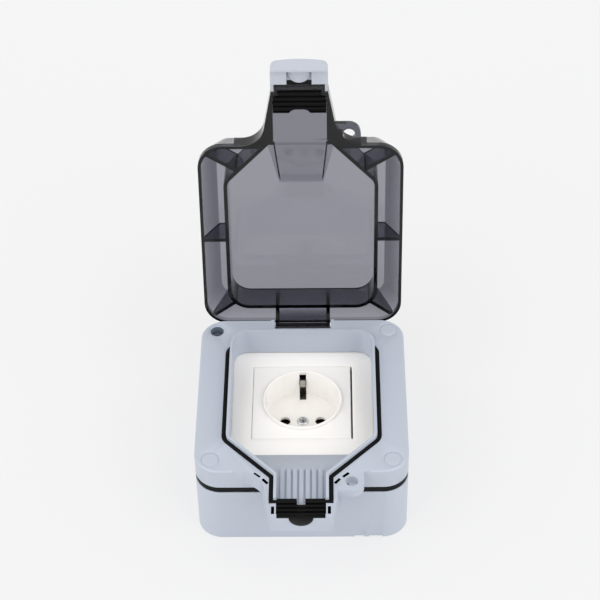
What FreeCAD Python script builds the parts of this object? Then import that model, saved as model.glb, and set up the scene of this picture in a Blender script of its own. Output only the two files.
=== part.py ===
import FreeCAD, Part
import math
import os

# Surface mounted outdoor socket, lying on its wall face with the lid open.
# Frame: mm, origin at the centre of the wall face, +Z out of the wall,
# +Y towards the hinge, -Y towards the cable spout.

V = FreeCAD.Vector

# Box outline and levels.
COVER_W = 80.0           # white cover of the socket insert, which the box is built round
WELL_Y = 6.25            # middle of the insert
BOX_W = COVER_W + 29.0   # width and length of the square box
HALF = BOX_W / 2
CORNER_R = 13.0
WALL = 2.6
BACK_H = 35.5            # height of the back box
GASKET_T = 4.0           # compressed gasket band
SKIRT_Z = BACK_H + GASKET_T
FRAME_H = 12.1           # height of the frame over the gasket
DECK_Z = SKIRT_Z + FRAME_H
DECK_T = 2.8
SEAT_GAP = 0.3           # air between pieces that only face each other

# Bottle shaped opening in the frame.
OPEN_HALF_W = COVER_W / 2 - 2.7
OPEN_REAR_Y = WELL_Y + COVER_W / 2 - 2.65
OPEN_REAR_R = 8.5
SHOULDER_Y = WELL_Y - COVER_W / 2 + 2.15
SHOULDER_R = 4.0
NECK_HALF_W = 12.4
NECK_SLOPE = 1.02        # length over width of the tapered shoulders
NECK_R = 2.0
NECK_Y = SHOULDER_Y - (OPEN_HALF_W - NECK_HALF_W) * NECK_SLOPE
COLLAR_T = 1.4
COLLAR_H = 2.2           # collar top over the deck
SEAL_W = 2.2
SEAL_SINK = 0.2          # rope seal crown under the deck
SEAL_DEPTH = 1.8
SEAL_END_Y = OPEN_REAR_Y - 7.8   # the seal runs out before the rear corners
SEAL_END_R = 6.0
SEAL_MID = COLLAR_T + SEAL_W / 2

# Spout that carries the plug lead out.
SPOUT_L = 29.2
SPOUT_END_Y = -HALF - SPOUT_L
SPOUT_END_HALF = 15.07
SPOUT_FLARE = 0.19       # half width gained per mm towards the box
FLARE_R = 12.0
LEDGE_Z = SKIRT_Z + 2.3
CHIN_ROOT_HALF = 21.3
CHIN_END_HALF = 15.5
CHIN_ROOT_Z = BACK_H + 0.4
CHIN_END_Z = BACK_H + 5.1        # edge that the latch hooks under
RAMP_FLOOR_Z = DECK_Z - 6.6
RAMP_HEAD_Y = NECK_Y + 9.1
RAMP_T = 2.4
RIB_COUNT = 7
RIB_PITCH = 3.2
RIB_W = 2.1
RIB_H = 1.1
FRONT_WALL_T = 1.8
CABLE_R = 6.1            # half round cable outlet
DRIP_DEPTH = 8.0         # depth of the narrow slots in the ledge

# Cable seal in the spout.
PAD_HALF_W = 12.1
PAD_REAR_Y = SPOUT_END_Y + 11.7
PAD_TOP_Z = DECK_Z - 0.2
PAD_LIP = 1.0
FLANGE_Y = SPOUT_END_Y + 8.6
FLANGE_T = 1.9
FLANGE_RISE = 0.2
PAD_NOTCH_HALF = 2.1
PAD_NOTCH_L = 3.5
LIP_RIB = 0.3

# Padlock lug and ear.
LUG_X = 25.3
LUG_Y = -HALF - 6.4
LUG_R = 6.2
LUG_HOLE_R = 3.2
LUG_T = 5.0
LUG_ROOT = 7.8           # reach of the lug into the flare
LUG_TIE = 5.5            # reach of its tie to the box

# Corner screws.
SCREW_INSET = 8.25
PITCH_HALF = HALF - SCREW_INSET
POST_HALF = 4.4
CAP_R = 4.4
CAP_HOLE_R = 3.6
SCREW_HEAD_R = 3.1
SCREW_R = 1.6
SCREW_SEAT_Z = DECK_Z - 5.6
SCREW_L = 26.0

# Hinge.
HINGE_Y = HALF + 0.7
HINGE_Z = DECK_Z - 8.0
KNUCKLE_R = 3.6
HINGE_PIN_R = 1.5
HINGE_HALF = 14.9        # half width of the lid lug
KNUCKLE_L = 6.0
RUN_FIT = 0.05           # radial clearance of pins that turn
LID_OPEN = 100.0         # degrees from closed to the open stop

# Lid.
LID_RIM_Z = DECK_Z + 0.8         # closed height of the lid rim
LID_H = 18.4
LID_TOP_Z = LID_RIM_Z + LID_H
LID_WALL = 1.6
LID_HALF_W = HALF - 0.6
LID_FRONT_Y = -HALF + 0.2
LID_REAR_Y = HALF + 2.2
LID_SKIRT = 3.2
LID_BEND_IN = 3.3
LID_BEND_Z = LID_RIM_Z + 10.0
LID_TOP_IN = 7.4
LID_TOP_FRONT_IN = 5.0
NECK_END_Y = SPOUT_END_Y - 6.3
NECK_TIP_HALF = 12.8
NECK_TIP_Y = SPOUT_END_Y - 1.3
NECK_TOP_Z = LID_RIM_Z + 9.6
SCOOP_NEAR_Y = LID_FRONT_Y + 30.3
SCOOP_NEAR_HALF = 11.0
SCOOP_FAR_HALF = 15.0
SCOOP_DRAFT = 5.0        # widening of the scoop from its floor to the plateau
SCOOP_FOOT_Y = LID_FRONT_Y + 2.3
RIB_T = 2.0
END_WALL_T = 3.2
SIDE_WEB_Y = 3.2
HINGE_WEB_X = 13.9

# Latch.
LATCH_Y = NECK_END_Y + 2.2
LATCH_Z = LID_RIM_Z + 1.3
LATCH_HALF_W = 14.7
ARM_T = 1.6
LATCH_PIN_R = 1.1
LATCH_REACH = 14.8
LATCH_BACK = 2.0         # back face behind the pin
LATCH_PLATE_T = 1.8
LATCH_BULGE = 2.0
HOOK_DEPTH = 1.6         # bite of the hook lip under the chin
HOOK_GAP = 0.3
LATCH_SWING = 80.0       # degrees from locked to swung out

# Socket insert.
PLATE_Y = WELL_Y - 0.6
COVER_EDGE_Z = DECK_Z - 14.8
PLATE_HALF = 26.0
PLATE_GAP = 0.5          # at the left and right of the plate, which sits to the left
PLATE_SHIFT = 0.38
PLATE_END_GAP = 0.14
PLATE_TOP_Z = COVER_EDGE_Z + 1.8
RIM_TOP_Z = PLATE_TOP_Z + 1.7
WELL_R = 19.9
RIM_OUT_R = WELL_R + 1.35
WELL_DEPTH = 17.5
WELL_WALL = 1.6
FLOOR_T = 1.8
FLOOR_Z = RIM_TOP_Z - WELL_DEPTH
PIN_PITCH = 19.0
PIN_HOLE_R = 2.85
SLOT_W = 3.5
SLOT_REACH = WELL_R - 4.2
STRAP_Z = COVER_EDGE_Z - 9.2
STRAP_T = 1.2
BASE_R = WELL_R + WELL_WALL + 4.5
BASE_BOTTOM_Z = FLOOR_Z - 16.4
DEVICE_SCREW_PITCH = 2 * BASE_R + 8.0
STRAP_W = DEVICE_SCREW_PITCH + 10.0
STRIP_T = 0.8
RAMP_FOOT_Y = WELL_Y - COVER_W / 2 + 2.5


# Helpers.
def corner_plan(points, z):
    """Closed wire through (x, y, radius) points, each corner rounded."""
    count = len(points)
    starts = []
    ends = []
    mids = []
    for i in range(count):
        x, y, r = points[i]
        here = V(x, y, z)
        before = V(points[i - 1][0], points[i - 1][1], z)
        after = V(points[(i + 1) % count][0], points[(i + 1) % count][1], z)
        to_before = (before - here).normalize()
        to_after = (after - here).normalize()
        half_angle = to_before.getAngle(to_after) / 2
        reach = r / math.tan(half_angle)
        bisector = (to_before + to_after).normalize()
        centre = here + bisector * (r / math.sin(half_angle))
        starts.append(here + to_before * reach)
        ends.append(here + to_after * reach)
        mids.append(centre - bisector * r)
    edges = []
    for i in range(count):
        if points[i][2] > 0:
            edges.append(Part.Arc(starts[i], mids[i], ends[i]).toShape())
        following = starts[(i + 1) % count]
        if ends[i].distanceToPoint(following) > 1e-6:
            edges.append(Part.makeLine(ends[i], following))
    return Part.Wire(edges)


def prism(points, z0, z1):
    """Upright solid over a rounded plan."""
    return Part.Face(corner_plan(points, z0)).extrude(V(0, 0, z1 - z0))


def square(half_x, y0, y1, r):
    """Plan of a rounded rectangle, symmetrical in X."""
    return [(half_x, y1, r), (-half_x, y1, r), (-half_x, y0, r), (half_x, y0, r)]


def block(x0, x1, y0, y1, z0, z1):
    return Part.makeBox(x1 - x0, y1 - y0, z1 - z0, V(x0, y0, z0))


def rod(radius, x, y, z0, z1):
    return Part.makeCylinder(radius, z1 - z0, V(x, y, z0))


def rod_x(radius, x0, x1, y, z):
    return Part.makeCylinder(radius, x1 - x0, V(x0, y, z), V(1, 0, 0))


def rod_y(radius, x, y0, y1, z):
    return Part.makeCylinder(radius, y1 - y0, V(x, y0, z), V(0, 1, 0))


def profile_x(points, x0, x1):
    """Solid of a (y, z) polygon drawn out along X."""
    corners = [V(x0, y, z) for y, z in points]
    wire = Part.makePolygon(corners + [corners[0]])
    return Part.Face(wire).extrude(V(x1 - x0, 0, 0))


def strip(points, x0, x1, thickness):
    """Bent sheet along (y, z) points, rounded at every bend."""
    pieces = []
    for (ya, za), (yb, zb) in zip(points, points[1:]):
        along = V(0, yb - ya, zb - za)
        across = V(0, za - zb, yb - ya).normalize() * (thickness / 2)
        a = V(x0, ya, za)
        b = a + along
        wire = Part.makePolygon([a + across, b + across, b - across, a - across, a + across])
        pieces.append(Part.Face(wire).extrude(V(x1 - x0, 0, 0)))
    for y, z in points[1:-1]:
        pieces.append(rod_x(thickness / 2, x0, x1, y, z))
    return pieces[0].multiFuse(pieces[1:])


def mirrored(shape):
    return shape.mirror(V(0, 0, 0), V(1, 0, 0))


def both_sides(shape):
    """A shape and its mirror image across the middle plane."""
    return [shape, mirrored(shape)]


def opened(shape):
    """Swing a lid piece from closed to the open stop."""
    turned = shape.copy()
    turned.rotate(V(0, HINGE_Y, HINGE_Z), V(1, 0, 0), -LID_OPEN)
    return turned


def corners():
    return [(sx * PITCH_HALF, sy * PITCH_HALF) for sx in (-1, 1) for sy in (-1, 1)]


def bottle(offset, end_y):
    """Plan of the bottle outline, grown by offset on every side."""
    slope = math.hypot(1, NECK_SLOPE)
    lean = (slope - 1) / NECK_SLOPE
    shift = offset * lean
    w = OPEN_HALF_W + offset
    n = NECK_HALF_W + offset
    right = [(n, end_y, 0), (n, NECK_Y - shift, NECK_R), (w, SHOULDER_Y - shift, SHOULDER_R + offset),
             (w, OPEN_REAR_Y + offset, OPEN_REAR_R + offset)]
    left = [(-x, y, r) for x, y, r in reversed(right)]
    return right + left


def seal_band(end_y, z0, z1):
    """Band outside the collar, which runs out before the rear corners."""
    wide = COLLAR_T + SEAL_W
    band = prism(bottle(wide, end_y), z0, z1).cut(prism(bottle(COLLAR_T, end_y), z0, z1))
    reach = OPEN_HALF_W + wide
    return band.common(prism(square(reach, end_y - 1, SEAL_END_Y, SEAL_END_R), z0, z1))


def spout_half(y):
    """Half width of the spout outline at a given y."""
    return SPOUT_END_HALF + (y - SPOUT_END_Y) * SPOUT_FLARE


def chin_z(y):
    """Height of the sloping underside of the chin at a given y."""
    return CHIN_ROOT_Z + (CHIN_END_Z - CHIN_ROOT_Z) * (y + HALF) / (SPOUT_END_Y + HALF)


def flare_plan(end_y, root_y):
    """Plan of the spout with its hollow flares into the front edge."""
    root = root_y + 1.0
    n = spout_half(root_y)
    e = spout_half(end_y)
    return [(e, end_y, 0.8), (n, root_y, FLARE_R), (n + 14, root_y, 0), (n + 14, root, 0),
            (-n - 14, root, 0), (-n - 14, root_y, 0), (-n, root_y, FLARE_R), (-e, end_y, 0.8)]


def export(name, shape):
    shape.removeSplitter().exportStep("parts/" + name + ".step")


# Back box and gasket.
WALL_HOLE_X = 38.0
WALL_HOLE_Y = 30.0
WALL_HOLE_R = 2.5
ENTRY_R = 10.2
ENTRY_Z = 18.0


def device_posts():
    posts = []
    for side in (-1, 1):
        x = side * DEVICE_SCREW_PITCH / 2
        posts.append(block(x - 3.4, x + 3.4, WELL_Y - 3.4, WELL_Y + 3.4, WALL / 2, STRAP_Z))
    return posts


def knockout(x, y, axis):
    """Thinned disc that is broken out for another cable entry."""
    return Part.makeCylinder(ENTRY_R, WALL * 0.5, V(x, y, ENTRY_Z), axis)


def back_box():
    body = prism(square(HALF, -HALF, HALF, CORNER_R), 0, BACK_H)
    inner = HALF - WALL
    body = body.cut(prism(square(inner, -inner, inner, CORNER_R - WALL), WALL, BACK_H))
    outside = prism(square(HALF, -HALF, HALF, CORNER_R), 0, BACK_H)
    posts = [block(x - POST_HALF, x + POST_HALF, y - POST_HALF, y + POST_HALF, WALL / 2, BACK_H)
             for x, y in corners()]
    bosses = []
    for x, y in ((sx * WALL_HOLE_X, sy * WALL_HOLE_Y) for sx in (-1, 1) for sy in (-1, 1)):
        bosses.append(block(x - 5.5, x + 5.5, y - 5.5, y + 5.5, WALL / 2, WALL + 2.4))
    body = body.multiFuse([outside.common(p) for p in posts] + device_posts() + bosses)
    cuts = [rod(SCREW_R, x, y, BACK_H - 20, BACK_H) for x, y in corners()]
    cuts += [rod(SCREW_R, side * DEVICE_SCREW_PITCH / 2, WELL_Y, STRAP_Z - 13, STRAP_Z) for side in (-1, 1)]
    cuts += [rod(WALL_HOLE_R, sx * WALL_HOLE_X, sy * WALL_HOLE_Y, 0, 10) for sx in (-1, 1) for sy in (-1, 1)]
    cuts.append(rod_y(ENTRY_R, 0, HALF - 2 * WALL, HALF + 1, ENTRY_Z))
    cuts.append(knockout(-HALF, 0, V(1, 0, 0)))
    cuts.append(knockout(HALF, 0, V(-1, 0, 0)))
    cuts += [block(x, x + w, -HALF - 1, -HALF + WALL + 1, -1, 0.9) for x, w in ((27.0, 5.0), (34.5, 7.0))]
    return body.cut(Part.makeCompound(cuts[:1]).multiFuse(cuts[1:]))


def frame_gasket():
    inset = 0.3
    outer = HALF - inset
    inner = HALF - WALL
    ring = prism(square(outer, -outer, outer, CORNER_R - inset), BACK_H, SKIRT_Z)
    return ring.cut(prism(square(inner, -inner, inner, CORNER_R - WALL), BACK_H, SKIRT_Z))


def entry_grommet():
    collar = rod_y(ENTRY_R + 2.4, 0, HALF, HALF + 2.0, ENTRY_Z)
    sleeve = rod_y(ENTRY_R, 0, HALF - WALL, HALF, ENTRY_Z)
    bore = rod_y(ENTRY_R - 1.6, 0, HALF - WALL - 1, HALF + 1.0, ENTRY_Z)
    return collar.fuse(sleeve).cut(bore)


# Top frame.
def spout_solid():
    """Ledge with the flares, and the deeper chin under it."""
    ledge = prism(flare_plan(SPOUT_END_Y, -HALF), LEDGE_Z, DECK_Z)
    draft = 0.5
    top = [(CHIN_END_HALF - draft, SPOUT_END_Y, 0), (CHIN_ROOT_HALF - draft, -HALF, 0),
           (-CHIN_ROOT_HALF + draft, -HALF, 0), (-CHIN_END_HALF + draft, SPOUT_END_Y, 0)]
    foot = [(CHIN_END_HALF, SPOUT_END_Y, 0), (CHIN_ROOT_HALF, -HALF, 0),
            (-CHIN_ROOT_HALF, -HALF, 0), (-CHIN_END_HALF, SPOUT_END_Y, 0)]
    chin = Part.makeLoft([corner_plan(foot, CHIN_ROOT_Z - 1), corner_plan(top, DECK_Z - 1)], True, True)
    below = profile_x([(-HALF + 1, chin_z(-HALF + 1)), (SPOUT_END_Y - 1, chin_z(SPOUT_END_Y - 1)),
                       (SPOUT_END_Y - 1, CHIN_ROOT_Z - 3), (-HALF + 1, CHIN_ROOT_Z - 3)], -HALF, HALF)
    inside = SPOUT_END_Y + 2.2
    pocket = prism([(CHIN_END_HALF - 2.2, inside, 1), (CHIN_ROOT_HALF - 3, -HALF - 2.2, 1),
                    (-CHIN_ROOT_HALF + 3, -HALF - 2.2, 1), (-CHIN_END_HALF + 2.2, inside, 1)],
                   CHIN_ROOT_Z - 3, RAMP_FLOOR_Z - RAMP_T)
    return ledge.fuse(chin.cut(below)).cut(pocket)


def lug_solid(z0, z1, reach):
    """Rounded lug round the padlock hole, tied to the front edge."""
    disc = rod(LUG_R, LUG_X, LUG_Y, z0, z1)
    tie = block(LUG_X - LUG_TIE, LUG_X + LUG_R, LUG_Y, reach, z0, z1)
    web = block(LUG_X - LUG_ROOT, LUG_X, LUG_Y - LUG_R, LUG_Y, z0, z1)
    return disc.multiFuse([tie, web])


def drip_slots():
    slots = []
    for x, y, turn in ((22.35, 2.35, 41.0), (18.1, 6.35, 50.0)):
        slot = block(-2.0, 2.0, -0.75, 0.75, DECK_Z - DRIP_DEPTH, DECK_Z + 1)
        slot.rotate(V(0, 0, 0), V(0, 0, 1), turn)
        slot.translate(V(x, -HALF - y, 0))
        slots += both_sides(slot)
    return slots


def hinge_seat():
    """Solid block behind the collar with the notch the lid lug turns in."""
    seat = block(-HINGE_HALF - 2.2, HINGE_HALF + 2.2, OPEN_REAR_Y + COLLAR_T, HALF, SKIRT_Z, DECK_Z)
    knuckle = rod_x(KNUCKLE_R, HINGE_HALF + SEAT_GAP, HINGE_HALF + SEAT_GAP + KNUCKLE_L, HINGE_Y, HINGE_Z)
    tie = block(HINGE_HALF + SEAT_GAP, HINGE_HALF + SEAT_GAP + KNUCKLE_L, HALF - WALL, HINGE_Y,
                HINGE_Z - KNUCKLE_R, HINGE_Z + KNUCKLE_R)
    return seat.multiFuse(both_sides(knuckle) + both_sides(tie))


def hinge_notch():
    half = HINGE_HALF + SEAT_GAP
    front = OPEN_REAR_Y + COLLAR_T + SEAL_W + 0.5
    floor_z = HINGE_Z + KNUCKLE_R - 1.4
    deep = block(-half, half, front, HINGE_Y + KNUCKLE_R + 1, floor_z, DECK_Z + 1)
    back = block(-half, half, HINGE_Y - KNUCKLE_R - 0.4, HINGE_Y + KNUCKLE_R + 1, HINGE_Z, DECK_Z)
    barrel = rod_x(KNUCKLE_R + 0.35, -half, half, HINGE_Y, HINGE_Z)
    return deep.multiFuse([back, barrel])


def ramp():
    """Slope up from the insert, flat floor of the spout and its ribs."""
    foot_z = COVER_EDGE_Z + 0.7
    section = [(RAMP_FOOT_Y, foot_z), (RAMP_FOOT_Y, foot_z + 0.4), (RAMP_HEAD_Y, RAMP_FLOOR_Z),
               (SPOUT_END_Y + 0.5, RAMP_FLOOR_Z), (SPOUT_END_Y + 0.5, RAMP_FLOOR_Z - RAMP_T),
               (RAMP_HEAD_Y - 1.0, RAMP_FLOOR_Z - RAMP_T), (RAMP_FOOT_Y - 6.0, foot_z)]
    floor = profile_x(section, -HALF, HALF)
    floor = floor.common(prism(bottle(COLLAR_T / 2, SPOUT_END_Y + 0.5), foot_z - 1, DECK_Z))
    ribs = []
    for i in range(RIB_COUNT):
        x = (i - (RIB_COUNT - 1) / 2) * RIB_PITCH
        ribs.append(block(x - RIB_W / 2, x + RIB_W / 2, PAD_REAR_Y, RAMP_HEAD_Y + 0.2,
                          RAMP_FLOOR_Z - 0.2, RAMP_FLOOR_Z + RIB_H))
    return floor.multiFuse(ribs)


def top_frame():
    shell = prism(square(HALF, -HALF, HALF, CORNER_R), SKIRT_Z, DECK_Z)
    shell = shell.makeChamfer(0.7, [e for e in shell.Edges if e.BoundBox.ZMin > DECK_Z - 0.01])
    inner = HALF - WALL
    shell = shell.cut(prism(square(inner, -inner, inner, CORNER_R - WALL), SKIRT_Z, DECK_Z - DECK_T))
    outline = prism(square(HALF, -HALF, HALF, CORNER_R), BACK_H, DECK_Z)
    wide = SCREW_HEAD_R + 1.8
    bosses = [outline.common(block(x - wide, x + wide, y - wide, y + wide, SKIRT_Z, DECK_Z - DECK_T / 2))
              for x, y in corners()]
    slim = SCREW_HEAD_R - 0.7
    feet = [block(x - slim, x + slim, y - slim, y + slim, BACK_H, SKIRT_Z + 1) for x, y in corners()]
    collar_end = FLANGE_Y + FLANGE_T
    foot_z = COVER_EDGE_Z + 0.7
    well = prism(bottle(COLLAR_T, collar_end), foot_z, DECK_Z + COLLAR_H)
    trim = block(-HALF, HALF, SPOUT_END_Y - 1, -HALF + WALL, foot_z - 1, LEDGE_Z + 2)
    body = shell.multiFuse(bosses + feet + [spout_solid(), lug_solid(DECK_Z - LUG_T, DECK_Z, -HALF + 1),
                                            hinge_seat(), well.cut(trim)])
    body = body.cut(prism(bottle(0, SPOUT_END_Y + FRONT_WALL_T), foot_z - 1, DECK_Z + 5))
    body = body.fuse(ramp())
    groove = seal_band(collar_end - 1, DECK_Z - SEAL_DEPTH, DECK_Z + 3)
    cuts = [groove, hinge_notch(), rod(LUG_HOLE_R, LUG_X, LUG_Y, 30, 60)]
    cuts.append(block(-NECK_HALF_W - COLLAR_T - SEAL_W, NECK_HALF_W + COLLAR_T + SEAL_W, FLANGE_Y,
                      FLANGE_Y + FLANGE_T, RAMP_FLOOR_Z, DECK_Z + 3))
    cuts.append(block(-PAD_HALF_W, PAD_HALF_W, SPOUT_END_Y - 1, PAD_REAR_Y, PAD_TOP_Z - PAD_LIP, DECK_Z + 5))
    cuts.append(rod_y(CABLE_R, 0, SPOUT_END_Y - 1, SPOUT_END_Y + 5, PAD_TOP_Z - PAD_LIP + 0.6))
    cuts += both_sides(block(13.2, 14.8, SPOUT_END_Y + 1.8, SPOUT_END_Y + 6.6, DECK_Z - DRIP_DEPTH, DECK_Z + 1))
    cuts += drip_slots()
    cuts.append(rod_x(HINGE_PIN_R, -HINGE_HALF - 5, HINGE_HALF + 5, HINGE_Y, HINGE_Z))
    for x, y in corners():
        cuts.append(rod(CAP_HOLE_R, x, y, SCREW_SEAT_Z, DECK_Z + 1))
        cuts.append(rod(CAP_R + 0.1, x, y, DECK_Z - 0.5, DECK_Z + 1))
        cuts.append(rod(SCREW_R + 0.15, x, y, BACK_H - 1, SCREW_SEAT_Z + 1))
    return body.cut(cuts[0].multiFuse(cuts[1:]))


def collar_seal():
    return seal_band(FLANGE_Y + FLANGE_T, DECK_Z - SEAL_DEPTH, DECK_Z - SEAL_SINK)


def spout_seal():
    """Rubber block that closes round the lead, with its half round outlet."""
    front = SPOUT_END_Y + FRONT_WALL_T
    pad = block(-NECK_HALF_W, NECK_HALF_W, front, PAD_REAR_Y, RAMP_FLOOR_Z, PAD_TOP_Z - PAD_LIP)
    crown = block(-PAD_HALF_W, PAD_HALF_W, SPOUT_END_Y, PAD_REAR_Y, PAD_TOP_Z - PAD_LIP, PAD_TOP_Z)
    plug = rod_y(CABLE_R, 0, SPOUT_END_Y - 0.4, front, PAD_TOP_Z - PAD_LIP + 0.6)
    plug = plug.common(block(-20, 20, SPOUT_END_Y - 2, front, RAMP_FLOOR_Z - 3, PAD_TOP_Z))
    wide = NECK_HALF_W + COLLAR_T + SEAL_W
    flange = block(-wide, wide, FLANGE_Y, FLANGE_Y + FLANGE_T, RAMP_FLOOR_Z, DECK_Z + FLANGE_RISE)
    ribs = []
    for i in range(3):
        y = SPOUT_END_Y + 0.9 + 2.6 * i
        ribs += both_sides(block(PAD_NOTCH_HALF, PAD_HALF_W, y, y + 1.0, PAD_TOP_Z, PAD_TOP_Z + LIP_RIB))
    body = pad.multiFuse([crown, plug, flange] + ribs)
    notch = block(-PAD_NOTCH_HALF, PAD_NOTCH_HALF, PAD_REAR_Y - PAD_NOTCH_L, PAD_REAR_Y + 1,
                  RAMP_FLOOR_Z + RIB_H + 0.6, DECK_Z + 3)
    return body.cut(notch)


def drive_cross(x, y, z, size):
    """Cross recess of a screw, cut from its head."""
    arm = block(x - size, x + size, y - 0.45, y + 0.45, z - 1.4, z + 1)
    other = block(x - 0.45, x + 0.45, y - size, y + size, z - 1.4, z + 1)
    return arm.fuse(other)


def pan_screw(x, y, seat_z, head_r, head_h, shank_r, length):
    head = rod(head_r, x, y, seat_z, seat_z + head_h)
    shank = rod(shank_r, x, y, seat_z - length, seat_z)
    return head.fuse(shank).cut(drive_cross(x, y, seat_z + head_h, head_r * 0.6))


def frame_screws():
    screws = [pan_screw(x, y, SCREW_SEAT_Z, SCREW_HEAD_R, 2.2, SCREW_R, SCREW_L) for x, y in corners()]
    return Part.makeCompound(screws)


def screw_caps():
    """Push-in caps; the one at the rear left is missing."""
    caps = []
    for x, y in corners():
        disc = rod(CAP_R, x, y, DECK_Z - 0.5, DECK_Z + 0.25)
        stem = rod(CAP_HOLE_R, x, y, DECK_Z - 2.6, DECK_Z - 0.5)
        caps.append(disc.fuse(stem))
    rear_left = corners().index((-PITCH_HALF, PITCH_HALF))
    return Part.makeCompound(caps[:rear_left] + caps[rear_left + 1:])


# Socket insert.
def cover_frame():
    half = COVER_W / 2
    y0 = WELL_Y - half
    y1 = WELL_Y + half
    skirt_z = STRAP_Z + STRAP_T
    body = prism(square(half, y0, y1, 5), skirt_z, COVER_EDGE_Z)
    near = PLATE_HALF + 2
    top = Part.makeLoft([corner_plan(square(half, y0, y1, 0), COVER_EDGE_Z),
                         corner_plan(square(near, PLATE_Y - near, PLATE_Y + near, 0), PLATE_TOP_Z - 0.3)],
                        True, True)
    top = top.common(prism(square(half, y0, y1, 5), COVER_EDGE_Z, PLATE_TOP_Z))
    hollow = prism(square(half - 2, y0 + 2, y1 - 2, 3), skirt_z, COVER_EDGE_Z - 2.0)
    reach = PLATE_HALF + PLATE_END_GAP
    window = prism(square(PLATE_HALF + PLATE_GAP, PLATE_Y - reach, PLATE_Y + reach, 0), skirt_z - 1, PLATE_TOP_Z + 1)
    return body.fuse(top).cut(hollow.fuse(window))


def well_wall_cut():
    """Slots that let the earth springs through the wall and floor."""
    slots = []
    for side in (-1, 1):
        y_in = WELL_Y + side * SLOT_REACH
        for y_out, top in ((WELL_R + WELL_WALL + 1, PLATE_TOP_Z - 2.0), (RIM_OUT_R - 0.3, RIM_TOP_Z - 1.5)):
            far = WELL_Y + side * y_out
            slots.append(block(-SLOT_W / 2, SLOT_W / 2, min(y_in, far), max(y_in, far), FLOOR_Z - 4, top))
    return slots


def centre_plate():
    h = PLATE_HALF
    plate = prism(square(h, PLATE_Y - h, PLATE_Y + h, 0), PLATE_TOP_Z - 2.0, PLATE_TOP_Z)
    plate = plate.makeChamfer(0.4, [e for e in plate.Edges if e.BoundBox.ZMin > PLATE_TOP_Z - 0.01])
    plate.translate(V(-PLATE_SHIFT, 0, 0))
    rim = rod(RIM_OUT_R, 0, WELL_Y, PLATE_TOP_Z - 1, RIM_TOP_Z)
    rim = rim.makeChamfer(0.5, [e for e in rim.Edges if e.BoundBox.ZMin > RIM_TOP_Z - 0.01])
    outer = rod(WELL_R + WELL_WALL, 0, WELL_Y, FLOOR_Z - FLOOR_T, PLATE_TOP_Z - 1)
    inner = rod(WELL_R, 0, WELL_Y, FLOOR_Z, RIM_TOP_Z)
    body = plate.multiFuse([rim, outer]).cut(inner)
    guide = block(WELL_R - 1.2, WELL_R + 1.0, WELL_Y - 2.3, WELL_Y + 2.3, FLOOR_Z - 0.5, PLATE_TOP_Z - 2)
    body = body.multiFuse(both_sides(guide))
    cuts = well_wall_cut()
    for side in (-1, 1):
        cuts.append(rod(PIN_HOLE_R, side * PIN_PITCH / 2, WELL_Y, FLOOR_Z - 3, FLOOR_Z + 1))
    cuts.append(rod(1.7, 0, WELL_Y, FLOOR_Z - 3, FLOOR_Z + 1))
    cuts.append(rod(3.05, 0, WELL_Y, FLOOR_Z - 0.7, FLOOR_Z + 1))
    return body.cut(cuts[0].multiFuse(cuts[1:]))


def plate_screw():
    head = rod(2.95, 0, WELL_Y, FLOOR_Z - 0.7, FLOOR_Z + 0.7)
    shank = rod(1.5, 0, WELL_Y, FLOOR_Z - 10, FLOOR_Z - 0.7)
    return head.fuse(shank).cut(drive_cross(0, WELL_Y, FLOOR_Z + 0.7, 1.9))


TERMINAL_X = WELL_R - 0.9
EARTH_Y = WELL_R - 2.7
CAVITY_W = 8.6
BASE_TOP_Z = FLOOR_Z - FLOOR_T - 1.2
BRIDGE_Z = BASE_TOP_Z - 4.6      # earth bridge at the bottom of its channel


def terminal_spots():
    """Live, neutral and earth terminals round the base."""
    return [(-TERMINAL_X, WELL_Y), (TERMINAL_X, WELL_Y), (0, WELL_Y - EARTH_Y)]


def socket_base():
    top = BASE_TOP_Z
    body = rod(BASE_R, 0, WELL_Y, BASE_BOTTOM_Z, top)
    lug = block(WELL_R + WELL_WALL + 1.8, BASE_R - 0.6, WELL_Y - 5, WELL_Y + 5, top - 3.0, STRAP_Z)
    body = body.multiFuse(both_sides(lug))
    cuts = []
    for x, y in terminal_spots():
        cuts.append(block(x - 4.6, x + 4.6, y - 4.6, y + 4.6, BASE_BOTTOM_Z - 1, BASE_BOTTOM_Z + 8.6))
    for side in (-1, 1):
        x = side * PIN_PITCH / 2
        cuts.append(block(x - CAVITY_W / 2, x + CAVITY_W / 2, WELL_Y - CAVITY_W / 2, WELL_Y + CAVITY_W / 2,
                          BASE_BOTTOM_Z + 1.5, top + 1))
        cuts.append(block(min(x, side * TERMINAL_X), max(x, side * TERMINAL_X), WELL_Y - 3.2, WELL_Y + 3.2,
                          BASE_BOTTOM_Z + 4.0, BASE_BOTTOM_Z + 6.0))
    cuts.append(rod(1.5, 0, WELL_Y, BASE_BOTTOM_Z + 1, top + 1))
    for side in (-1, 1):
        cuts.append(block(-2.2, 2.2, WELL_Y + min(side * 20.4, side * 27), WELL_Y + max(side * 20.4, side * 27),
                          BASE_BOTTOM_Z - 1, top + 1))
    channel_z = BRIDGE_Z - STRIP_T / 2 - 0.1
    cuts.append(block(-2.2, 2.2, WELL_Y - 21, WELL_Y + 21, channel_z, top + 1))
    cuts.append(rod(3.5, 0, WELL_Y, channel_z, top + 1))
    cuts.append(block(-2.2, 2.2, WELL_Y - 21, WELL_Y - EARTH_Y + 3, BASE_BOTTOM_Z - 1, top + 1))
    return body.cut(cuts[0].multiFuse(cuts[1:]))


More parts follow.
